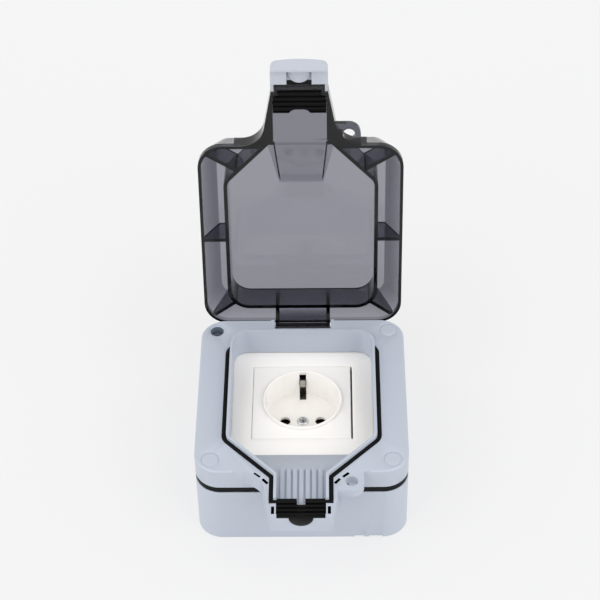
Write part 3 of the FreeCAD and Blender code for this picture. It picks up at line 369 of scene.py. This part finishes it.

# %% [markdown]
# The rear left cap is lost, and its bare hole lies in its own shade. The end
# wall of the lid's neck lies in the shade of the latch, and looks like a navy
# band. Both get a painted shade, a darker colour on the faces in the shade only,
# and the pin inside that wall gets a painted shade too, a dark navy steel.

# %% Shaded walls
HEAD_R = 3.1
BARE_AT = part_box("frame_screws")[1][0] / MM - HEAD_R
HOLE_REACH = 3.9
HOLE_DEEP_Z = DECK_Z - 3
END_WALL_REACH = 0.4
# Painted shade: the walls of the bare screw hole get a dark blue grey colour.
moulded_frame.data.materials.append(HOLE_SHADE)
shaded = 0
for face in moulded_frame.data.polygons:
    x, y, z = face.center / MM
    upright = abs(face.normal.z) < 0.5
    if math.hypot(x + BARE_AT, y - BARE_AT) < HOLE_REACH and (upright or z < HOLE_DEEP_Z):
        face.material_index = 2
        shaded += 1
# Painted shade: the end wall of the neck gets a dark navy colour for the shade of the latch.
smoke_lid.data.materials.append(NECK_SHADE)
fronts = [turned(*(corner.co / MM)[1:], -OPEN_TURN)[0] for corner in smoke_lid.data.vertices]
for face in smoke_lid.data.polygons:
    if max(fronts[v] for v in face.vertices) < min(fronts) + END_WALL_REACH:
        face.material_index = 1
        shaded += 1
print("shaded faces", shaded, "neck end at", round(min(fronts), 2))

# %% [markdown]
# What repeats is grown by Geometry Nodes. A tree starts with named inputs and
# ends with real geometry and its finish. In between, a round head is a disc
# whose upper face falls towards its rim, and parts are stacked along Z. The
# last two helpers run a tree on a few seed points or curves, keep the outcome
# as a plain mesh and let it ride on its body.


# %% Tree helpers
def new_tree(name, inputs):
    """Geometry tree with named inputs, its input node and its output node."""
    tree = bpy.data.node_groups.new(name, "GeometryNodeTree")
    tree.interface.new_socket("Geometry", in_out="INPUT", socket_type="NodeSocketGeometry")
    for label, kind in inputs:
        tree.interface.new_socket(label, in_out="INPUT", socket_type="NodeSocket" + kind)
    tree.interface.new_socket("Geometry", in_out="OUTPUT", socket_type="NodeSocketGeometry")
    return tree, tree.nodes.new("NodeGroupInput"), tree.nodes.new("NodeGroupOutput")


def end_tree(tree, given, out, outcome):
    """Last two nodes of every tree: real geometry, and its finish."""
    real = tree.nodes.new("GeometryNodeRealizeInstances")
    paint = tree.nodes.new("GeometryNodeSetMaterial")
    tree.links.new(outcome, real.inputs[0])
    tree.links.new(real.outputs[0], paint.inputs["Geometry"])
    tree.links.new(given.outputs["Finish"], paint.inputs["Material"])
    tree.links.new(paint.outputs[0], out.inputs[0])
    return tree


def lifted(tree, mesh, length, share):
    """Mesh moved along Z by a share of a length; returns the output."""
    rise = tree.nodes.new("ShaderNodeCombineXYZ")
    tree.links.new(sum_of(tree, "MULTIPLY", length, share), rise.inputs["Z"])
    move = tree.nodes.new("GeometryNodeTransform")
    tree.links.new(mesh, move.inputs["Geometry"])
    tree.links.new(rise.outputs[0], move.inputs["Translation"])
    return move.outputs[0]


def crowned(tree, disc, radius, height, power, fall):
    """Disc whose upper face falls towards its rim by a share of its height."""
    where = tree.nodes.new("GeometryNodeInputPosition")
    split = tree.nodes.new("ShaderNodeSeparateXYZ")
    tree.links.new(where.outputs[0], split.inputs[0])
    across = sum_of(tree, "ADD", sum_of(tree, "POWER", split.outputs["X"], 2.0),
                    sum_of(tree, "POWER", split.outputs["Y"], 2.0))
    outward = sum_of(tree, "DIVIDE", sum_of(tree, "SQRT", across, 0.0), radius)
    depth = sum_of(tree, "MULTIPLY", sum_of(tree, "POWER", outward, power), height)
    upper = sum_of(tree, "GREATER_THAN", split.outputs["Z"], 0.0)
    offset = tree.nodes.new("ShaderNodeCombineXYZ")
    drop = sum_of(tree, "MULTIPLY", sum_of(tree, "MULTIPLY", depth, upper), -fall)
    tree.links.new(drop, offset.inputs["Z"])
    bent = tree.nodes.new("GeometryNodeSetPosition")
    tree.links.new(disc, bent.inputs["Geometry"])
    tree.links.new(offset.outputs[0], bent.inputs["Offset"])
    return bent.outputs[0]


def grown(name, seed_data, tree, values, body, node, width=0.0):
    """Run a tree on seed data and keep the outcome as a plain piece."""
    seed = bpy.data.objects.new(name + "_seed", seed_data)
    bpy.context.scene.collection.objects.link(seed)
    step = seed.modifiers.new("grow", "NODES")
    step.node_group = tree
    for socket in tree.interface.items_tree:
        if socket.name in values:
            step[socket.identifier] = values[socket.name]
    view = bpy.context.evaluated_depsgraph_get()
    mesh = bpy.data.meshes.new_from_object(seed.evaluated_get(view))
    mesh.name = name
    bpy.data.objects.remove(seed)
    piece = bpy.data.objects.new(name, mesh)
    bpy.context.scene.collection.objects.link(piece)
    soften(piece, width, 35.0)
    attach(piece, body)
    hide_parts(node)
    print(name, "faces", len(mesh.polygons))
    return piece


def points_at(name, places):
    """Mesh of loose points, in millimetres."""
    mesh = bpy.data.meshes.new(name)
    mesh.from_pydata([[c * MM for c in place] for place in places], [], [])
    return mesh


def span(node):
    """Lowest and highest corner of a CAD node in millimetres."""
    low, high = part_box(node)
    return [c / MM for c in low], [c / MM for c in high]


print("the frame screws span", [[round(c, 2) for c in end] for end in span("frame_screws")])

# %% [markdown]
# The screw tree turns a flat cylinder into a pan head by pulling its rim down,
# cuts the cross with two boxes, and winds the thread as a spiral round the
# shank. One screw is made at the origin and put on every seed point, each turned
# by its own angle, as a hand-driven screw would stop.

# %% Screw tree
CROSS_LENGTH = 1.15
CROSS_WIDTH = 0.27
CORE_SHARE = 0.82
THREAD_SHARE = 0.86
TOOTH_SHARE = 0.13
THREAD_START = 0.15
THREAD_LENGTH = 0.8
STOP_TURN = 1.9


def screw_tree():
    """Pan head screw on each seed point, seat at the point."""
    tree, given, out = new_tree("pan screw", [
        ("Head radius", "Float"), ("Head height", "Float"), ("Shank radius", "Float"),
        ("Length", "Float"), ("Turn", "Float"), ("Finish", "Material")])
    link = tree.links.new
    head_r, head_h, shank_r, length = [
        given.outputs[label] for label in ("Head radius", "Head height", "Shank radius", "Length")]
    head = node_of(tree, "GeometryNodeMeshCylinder", Vertices=48, Side_Segments=3,
                   Fill_Segments=8)
    link(head_r, head.inputs["Radius"])
    link(head_h, head.inputs["Depth"])
    cross = tree.nodes.new("GeometryNodeMeshBoolean")
    cross.operation = "DIFFERENCE"
    domed = crowned(tree, head.outputs["Mesh"], head_r, head_h, power=5.0, fall=0.35)
    link(domed, cross.inputs["Mesh 1"])
    for turn in (0.0, math.pi / 2):
        blade = tree.nodes.new("GeometryNodeMeshCube")
        sides = tree.nodes.new("ShaderNodeCombineXYZ")
        link(sum_of(tree, "MULTIPLY", head_r, CROSS_LENGTH), sides.inputs["X"])
        link(sum_of(tree, "MULTIPLY", head_r, CROSS_WIDTH), sides.inputs["Y"])
        link(head_h, sides.inputs["Z"])
        link(sides.outputs[0], blade.inputs["Size"])
        bar = lifted(tree, blade.outputs["Mesh"], head_h, 0.5)
        bar.node.inputs["Rotation"].default_value = (0.0, 0.0, turn)
        link(bar, cross.inputs["Mesh 2"])
    core = node_of(tree, "GeometryNodeMeshCylinder", Vertices=24)
    link(sum_of(tree, "MULTIPLY", shank_r, CORE_SHARE), core.inputs["Radius"])
    link(length, core.inputs["Depth"])
    wind = node_of(tree, "GeometryNodeCurveSpiral", Resolution=16, Rotations=9.0)
    ridge = sum_of(tree, "MULTIPLY", shank_r, THREAD_SHARE)
    link(ridge, wind.inputs["Start Radius"])
    link(ridge, wind.inputs["End Radius"])
    link(sum_of(tree, "MULTIPLY", length, -THREAD_LENGTH), wind.inputs["Height"])
    tooth = node_of(tree, "GeometryNodeCurvePrimitiveCircle", Resolution=4)
    link(sum_of(tree, "MULTIPLY", shank_r, TOOTH_SHARE), tooth.inputs["Radius"])
    thread = node_of(tree, "GeometryNodeCurveToMesh", Fill_Caps=True)
    link(wind.outputs[0], thread.inputs["Curve"])
    link(tooth.outputs["Curve"], thread.inputs["Profile Curve"])
    screw = tree.nodes.new("GeometryNodeJoinGeometry")
    link(lifted(tree, cross.outputs["Mesh"], head_h, 0.5), screw.inputs[0])
    link(lifted(tree, core.outputs["Mesh"], length, -0.5), screw.inputs[0])
    link(lifted(tree, thread.outputs[0], length, -THREAD_START), screw.inputs[0])
    angle = tree.nodes.new("ShaderNodeCombineXYZ")
    number = tree.nodes.new("GeometryNodeInputIndex")
    twist = sum_of(tree, "MULTIPLY_ADD", number.outputs[0], STOP_TURN)
    link(given.outputs["Turn"], twist.node.inputs[2])
    link(twist, angle.inputs["Z"])
    spread = tree.nodes.new("GeometryNodeInstanceOnPoints")
    link(given.outputs["Geometry"], spread.inputs["Points"])
    link(screw.outputs[0], spread.inputs["Instance"])
    link(angle.outputs[0], spread.inputs["Rotation"])
    return end_tree(tree, given, out, spread.outputs[0])


PAN_SCREW = screw_tree()


def screws(name, node, places, head_r, head_h, shank_r, turn, finish):
    """Pan head screws at some places, as long as their CAD node is high."""
    low, high = span(node)
    seat_z = high[2] - head_h
    grown(name, points_at(name + "_seats", [(x, y, seat_z) for x, y in places]), PAN_SCREW,
          {"Head radius": head_r * MM, "Head height": head_h * MM, "Shank radius": shank_r * MM,
           "Length": (seat_z - low[2]) * MM, "Turn": turn, "Finish": finish}, "box", node)


low, high = span("frame_screws")
corners = [(sx * (high[0] - HEAD_R), sy * (high[1] - HEAD_R)) for sx in (-1, 1) for sy in (-1, 1)]
# The corner screws carry the painted shade steel of the bare hole.
screws("corner_screws", "frame_screws", corners, HEAD_R,
       head_h=2.2, shank_r=1.6, turn=0.5, finish=SHADED_SCREW_STEEL)
STRAP_HEAD_R = 2.9
low, high = span("strap_screws")
sides = [(s * (high[0] - STRAP_HEAD_R), (low[1] + high[1]) / 2) for s in (-1, 1)]
screws("device_screws", "strap_screws", sides, STRAP_HEAD_R,
       head_h=1.8, shank_r=1.6, turn=0.2, finish=SCREW_STEEL)
WELL_HEAD_R = 2.95
low, high = span("plate_screw")
middle = [(0, (low[1] + high[1]) / 2)]
screws("well_screw", "plate_screw", middle, WELL_HEAD_R,
       head_h=1.4, shank_r=1.5, turn=0.35, finish=SCREW_STEEL)

# %% [markdown]
# A push-in cap is the same idea with a flatter fall: a disc whose face drops
# only at its rim, over a stem that grips the hole. The rear left cap is lost, so
# only three seed points are given.


# %% Cap tree
def cap_tree():
    """Push-in cap on each seed point, its underside at the point."""
    tree, given, out = new_tree("push-in cap", [
        ("Radius", "Float"), ("Thickness", "Float"), ("Stem radius", "Float"),
        ("Stem length", "Float"), ("Finish", "Material")])
    link = tree.links.new
    radius, thickness, stem_r, stem_l = [
        given.outputs[label] for label in ("Radius", "Thickness", "Stem radius", "Stem length")]
    disc = node_of(tree, "GeometryNodeMeshCylinder", Vertices=64, Side_Segments=2,
                   Fill_Segments=12)
    link(radius, disc.inputs["Radius"])
    link(thickness, disc.inputs["Depth"])
    face = crowned(tree, disc.outputs["Mesh"], radius, thickness, power=14.0, fall=0.4)
    stem = node_of(tree, "GeometryNodeMeshCylinder", Vertices=48)
    link(stem_r, stem.inputs["Radius"])
    link(stem_l, stem.inputs["Depth"])
    cap = tree.nodes.new("GeometryNodeJoinGeometry")
    link(lifted(tree, face, thickness, 0.5), cap.inputs[0])
    link(lifted(tree, stem.outputs["Mesh"], stem_l, -0.5), cap.inputs[0])
    spread = tree.nodes.new("GeometryNodeInstanceOnPoints")
    link(given.outputs["Geometry"], spread.inputs["Points"])
    link(cap.outputs[0], spread.inputs["Instance"])
    return end_tree(tree, given, out, spread.outputs[0])


CAP_R = 4.4
CAP_T = 0.75
CAP_STEM_R = 3.6
low, high = span("screw_caps")
CAP_SEAT_Z = high[2] - CAP_T
capped = [(x, y, CAP_SEAT_Z) for x, y in corners if not (x < 0 and y > 0)]
grown("push_in_caps", points_at("capped", capped), cap_tree(),
      {"Radius": CAP_R * MM, "Thickness": CAP_T * MM, "Stem radius": CAP_STEM_R * MM,
       "Stem length": (CAP_SEAT_Z - low[2]) * MM, "Finish": CAP_GREY}, "box", "screw_caps")

# %% [markdown]
# The rope seal follows the bottle shaped collar. Each strand is a polyline whose
# points carry the radius of their own fillet, and the tree rounds the corners,
# sweeps a round section along it, thins it towards the rear end, where the
# groove runs out, and flattens it as the closing lid has done.


# %% Rope seal tree
def rope_tree():
    """Round rope along a filleted polyline, thinned at its end."""
    tree, given, out = new_tree("rope seal", [
        ("Rope radius", "Float"), ("Run out", "Float"), ("Flatten", "Float"), ("Crown", "Float"),
        ("Finish", "Material")])
    link = tree.links.new
    corner = tree.nodes.new("GeometryNodeInputRadius")
    bend = tree.nodes.new("GeometryNodeFilletCurve")
    bend.mode = "POLY"
    bend.inputs["Count"].default_value = 10
    link(given.outputs["Geometry"], bend.inputs["Curve"])
    link(corner.outputs[0], bend.inputs["Radius"])
    even = tree.nodes.new("GeometryNodeResampleCurve")
    even.mode = "LENGTH"
    even.inputs["Length"].default_value = 0.5 * MM
    link(bend.outputs[0], even.inputs["Curve"])
    along = tree.nodes.new("GeometryNodeSplineParameter")
    whole = tree.nodes.new("GeometryNodeSplineLength")
    left = sum_of(tree, "SUBTRACT", whole.outputs["Length"], along.outputs["Length"])
    thin = node_of(tree, "ShaderNodeMapRange", To_Min=0.12)
    link(left, thin.inputs["Value"])
    link(given.outputs["Run out"], thin.inputs["From Max"])
    section = node_of(tree, "GeometryNodeCurvePrimitiveCircle", Resolution=16)
    link(given.outputs["Rope radius"], section.inputs["Radius"])
    sweep = node_of(tree, "GeometryNodeCurveToMesh", Fill_Caps=True)
    link(even.outputs[0], sweep.inputs["Curve"])
    link(section.outputs["Curve"], sweep.inputs["Profile Curve"])
    link(thin.outputs["Result"], sweep.inputs["Scale"])
    where = tree.nodes.new("GeometryNodeInputPosition")
    split = tree.nodes.new("ShaderNodeSeparateXYZ")
    link(where.outputs[0], split.inputs[0])
    depth = sum_of(tree, "SUBTRACT", split.outputs["Z"], given.outputs["Crown"])
    press = tree.nodes.new("ShaderNodeCombineXYZ")
    link(sum_of(tree, "MULTIPLY", depth, given.outputs["Flatten"]), press.inputs["Z"])
    flat = tree.nodes.new("GeometryNodeSetPosition")
    link(sweep.outputs[0], flat.inputs["Geometry"])
    link(press.outputs[0], flat.inputs["Offset"])
    return end_tree(tree, given, out, flat.outputs[0])


low, high = span("collar_seal")
ROPE_R = 1.4
RUN_OUT = 4.8
PRESSED = -0.5
GROOVE_HALF = 1.1
CROWN_Z = DECK_Z + 0.4
SHOULDER_Y = -31.6
NECK_HALF_W = 12.4
COLLAR_T = 1.4
NECK_SLOPE = 1.02
NECK_R, SHOULDER_R, REAR_R = 2.0, 6.5, 4.0
NECK_X = NECK_HALF_W + COLLAR_T + GROOVE_HALF
SIDE_X = high[0] - GROOVE_HALF
LEAN = (math.hypot(1, NECK_SLOPE) - 1) / NECK_SLOPE * (COLLAR_T + GROOVE_HALF)
NECK_Y = SHOULDER_Y - (SIDE_X - NECK_X) * NECK_SLOPE - LEAN
strand = [(NECK_X, low[1] + 0.1, 0.0), (NECK_X, NECK_Y, NECK_R),
          (SIDE_X, SHOULDER_Y - LEAN, SHOULDER_R), (SIDE_X, high[1] - 4.6, REAR_R),
          (SIDE_X - GROOVE_HALF + 0.2, high[1] - 0.2, 0.0)]
rope_data = bpy.data.curves.new("rope path", "CURVE")
rope_data.dimensions = "3D"
for side in (-1, 1):
    line = rope_data.splines.new("POLY")
    line.points.add(len(strand) - 1)
    for point, (x, y, bend) in zip(line.points, strand):
        point.co = (side * x * MM, y * MM, (CROWN_Z - ROPE_R) * MM, 1)
        point.radius = bend * MM
grown("rope_seal", rope_data, rope_tree(),
      {"Rope radius": ROPE_R * MM, "Run out": RUN_OUT * MM, "Flatten": PRESSED,
       "Crown": CROWN_Z * MM, "Finish": ROPE_BLACK}, "box", "collar_seal")

# %% [markdown]
# The two rubber blocks grip the lead with rounded ribs. A tree lays a row of
# rods across a block and cuts them away, which leaves round valleys between the
# ribs. The lid stands open, so its row is turned about the hinge with it.

# %% Ribbed rubber tree
ROD_LENGTH = 36


def rib_tree():
    """Block with a row of round valleys cut across its face."""
    tree, given, out = new_tree("ribbed rubber", [
        ("Valley radius", "Float"), ("Valleys", "Int"), ("First", "Vector"), ("Step", "Vector"),
        ("Finish", "Material")])
    link = tree.links.new
    row = tree.nodes.new("GeometryNodeMeshLine")
    link(given.outputs["Valleys"], row.inputs["Count"])
    link(given.outputs["First"], row.inputs["Start Location"])
    link(given.outputs["Step"], row.inputs["Offset"])
    rod = node_of(tree, "GeometryNodeMeshCylinder", Vertices=24, Depth=ROD_LENGTH * MM)
    link(given.outputs["Valley radius"], rod.inputs["Radius"])
    lay = node_of(tree, "GeometryNodeTransform", Rotation=(0.0, math.pi / 2, 0.0))
    link(rod.outputs["Mesh"], lay.inputs["Geometry"])
    spread = tree.nodes.new("GeometryNodeInstanceOnPoints")
    link(row.outputs[0], spread.inputs["Points"])
    link(lay.outputs[0], spread.inputs["Instance"])
    rods = tree.nodes.new("GeometryNodeRealizeInstances")
    link(spread.outputs[0], rods.inputs[0])
    cut = tree.nodes.new("GeometryNodeMeshBoolean")
    cut.operation = "DIFFERENCE"
    cut.solver = "EXACT"
    link(given.outputs["Geometry"], cut.inputs["Mesh 1"])
    link(rods.outputs[0], cut.inputs["Mesh 2"])
    return end_tree(tree, given, out, cut.outputs["Mesh"])


RIBBED = rib_tree()
VALLEY_R = 0.85
RUBBER_EDGE = 0.2
SPOUT_PITCH = 2.6
SPOUT_FACE_Z = DECK_Z - 0.5
SPOUT_FIRST_Y = SPOUT_END_Y + 2.7
start = Vector((0, SPOUT_FIRST_Y, SPOUT_FACE_Z)) * MM
grown("spout_rubber", merged("spout_seal", "spout_block"), RIBBED,
      {"Valley radius": VALLEY_R * MM, "Valleys": 3, "First": start,
       "Step": Vector((0, SPOUT_PITCH, 0)) * MM, "Finish": RUBBER_BLACK},
      "box", "spout_seal", RUBBER_EDGE)
LID_PITCH = 2.8
LID_FACE_Z = DECK_Z + 1.5
LID_FIRST_Y = SPOUT_END_Y + 3.4 - 2 * LID_PITCH
start = Vector((0, *turned(LID_FIRST_Y, LID_FACE_Z, OPEN_TURN))) * MM
further = Vector((0, *turned(LID_FIRST_Y + LID_PITCH, LID_FACE_Z, OPEN_TURN))) * MM
grown("lid_rubber", merged("lid_seal", "lid_block"), RIBBED,
      {"Valley radius": VALLEY_R * MM, "Valleys": 5, "First": start,
       "Step": further - start, "Finish": RUBBER_BLACK},
      "lid", "lid_seal", RUBBER_EDGE)

# %% [markdown]
# The other solids already have their true shape. They keep their meshes and
# only get their finish in the slot that the frame gave them; the latch pin's is a painted shade.

# %% Finishes for the plain solids
FINISH = {
    "entry_grommet": GROMMET_GREY, "socket_base": BASE_BLACK, "pin_contacts": BRASS,
    "earth_bracket": EARTH_NICKEL, "terminal_clamps": SCREW_STEEL, "terminal_screws": SCREW_STEEL,
    # latch_pin: dark navy steel, painted shade of the end wall behind the latch.
    "mounting_strap": STRAP_ZINC, "hinge_pin": PIN_STEEL, "latch_pin": SHADED_PIN_STEEL,
}
for node, finish in FINISH.items():
    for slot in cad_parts[node].material_slots:
        slot.material = finish
print("finished", len(FINISH), "plain solids")

# %% [markdown]
# The floor is a wide white sheet. What the camera sees of it, straight or in
# glass and gloss, is mostly an even studio white, and a share of plain white
# paint under it keeps the object's soft shadow.

# %% Floor
STUDIO_WHITE = (0.905, 0.905, 0.91, 1)
GLOW_SHARE = 0.75
REACH = 6.0
floor_mesh = bpy.data.meshes.new("studio_floor")
floor_mesh.from_pydata([(-REACH, -REACH, 0), (REACH, -REACH, 0), (REACH, REACH, 0),
                        (-REACH, REACH, 0)], [], [(0, 1, 2, 3)])
floor = bpy.data.objects.new("studio_floor", floor_mesh)
floor.location.z = -0.0002
bpy.context.scene.collection.objects.link(floor)
floor_paint = bpy.data.materials.new("studio white")
floor_paint.use_nodes = True
floor_tree = floor_paint.node_tree
floor_link = floor_tree.links.new
paint = floor_tree.nodes["Principled BSDF"]
paint.inputs["Base Color"].default_value = (0.80, 0.80, 0.80, 1)
paint.inputs["Roughness"].default_value = 0.8
paint.inputs["Specular IOR Level"].default_value = 0.0
glow = node_of(floor_tree, "ShaderNodeEmission", Color=STUDIO_WHITE)
ray = node_of(floor_tree, "ShaderNodeLightPath")
seen = sum_of(floor_tree, "ADD", ray.outputs["Is Camera Ray"], ray.outputs["Is Glossy Ray"])
seen = sum_of(floor_tree, "ADD", seen, ray.outputs["Is Transmission Ray"])
seen.node.use_clamp = True
blend = node_of(floor_tree, "ShaderNodeMixShader")
floor_link(sum_of(floor_tree, "MULTIPLY", seen, GLOW_SHARE), blend.inputs["Fac"])
floor_link(paint.outputs["BSDF"], blend.inputs[1])
floor_link(glow.outputs["Emission"], blend.inputs[2])
floor_link(blend.outputs["Shader"], floor_tree.nodes["Material Output"].inputs["Surface"])
floor_mesh.materials.append(floor_paint)
print("floor is", 2 * REACH, "m wide")

# %% [markdown]
# The light is that of a photographer's white tent: an even white world, and two
# very soft sources at the left and right in front, each 60 degrees wide.

# %% Studio light
world = bpy.data.worlds.new("white tent")
bpy.context.scene.world = world
world.use_nodes = True
sky = world.node_tree.nodes["Background"]
sky.inputs["Color"].default_value = (1, 1, 1, 1)
sky.inputs["Strength"].default_value = 0.75


def soft_source(name, direction, strength):
    """Wide, even source that shines from a direction."""
    data = bpy.data.lights.new(name, "SUN")
    data.angle = math.radians(60)
    data.energy = strength
    lamp = bpy.data.objects.new(name, data)
    lamp.rotation_euler = Vector(direction).to_track_quat("Z", "Y").to_euler()
    bpy.context.scene.collection.objects.link(lamp)


soft_source("left source", (-0.95, -0.5, 0.85), 1.15)
soft_source("right source", (0.95, -0.5, 0.85), 1.10)
print("world strength", sky.inputs["Strength"].default_value)

# %% [markdown]
# The camera stands where the photographer stood: a long lens, about a metre
# away and looking down at 44 degrees, so the lines of the box hardly converge.
# Its focal length was found in pixels of a picture 600 wide.

# %% Camera
FILM_WIDTH = 36.0
FRAME_PIXELS = 600
FOCAL_PIXELS = 1845.0
CAMERA_AT = (0.01485, -0.6639, 0.7541)
view_data = bpy.data.cameras.new("camera")
view_data.sensor_width = FILM_WIDTH
view_data.lens = FOCAL_PIXELS / FRAME_PIXELS * FILM_WIDTH
view_data.clip_start = 0.05
camera = bpy.data.objects.new("camera", view_data)
bpy.context.scene.collection.objects.link(camera)
yaw = math.radians(1.28)
pitch = math.radians(-43.74)
roll = math.radians(-1.26)
level = math.cos(pitch)
ahead = Vector((-math.sin(yaw) * level, math.cos(yaw) * level, math.sin(pitch)))
flat_right = ahead.cross(Vector((0, 0, 1))).normalized()
flat_up = flat_right.cross(ahead)
right = flat_right * math.cos(roll) + flat_up * math.sin(roll)
up = flat_up * math.cos(roll) - flat_right * math.sin(roll)
turn = Matrix((right, up, -ahead)).transposed().to_4x4()
camera.matrix_world = Matrix.Translation(CAMERA_AT) @ turn
bpy.context.scene.camera = camera
bpy.context.scene.view_settings.view_transform = "Standard"
print("camera looks down at", round(-math.degrees(pitch), 1), "degrees")
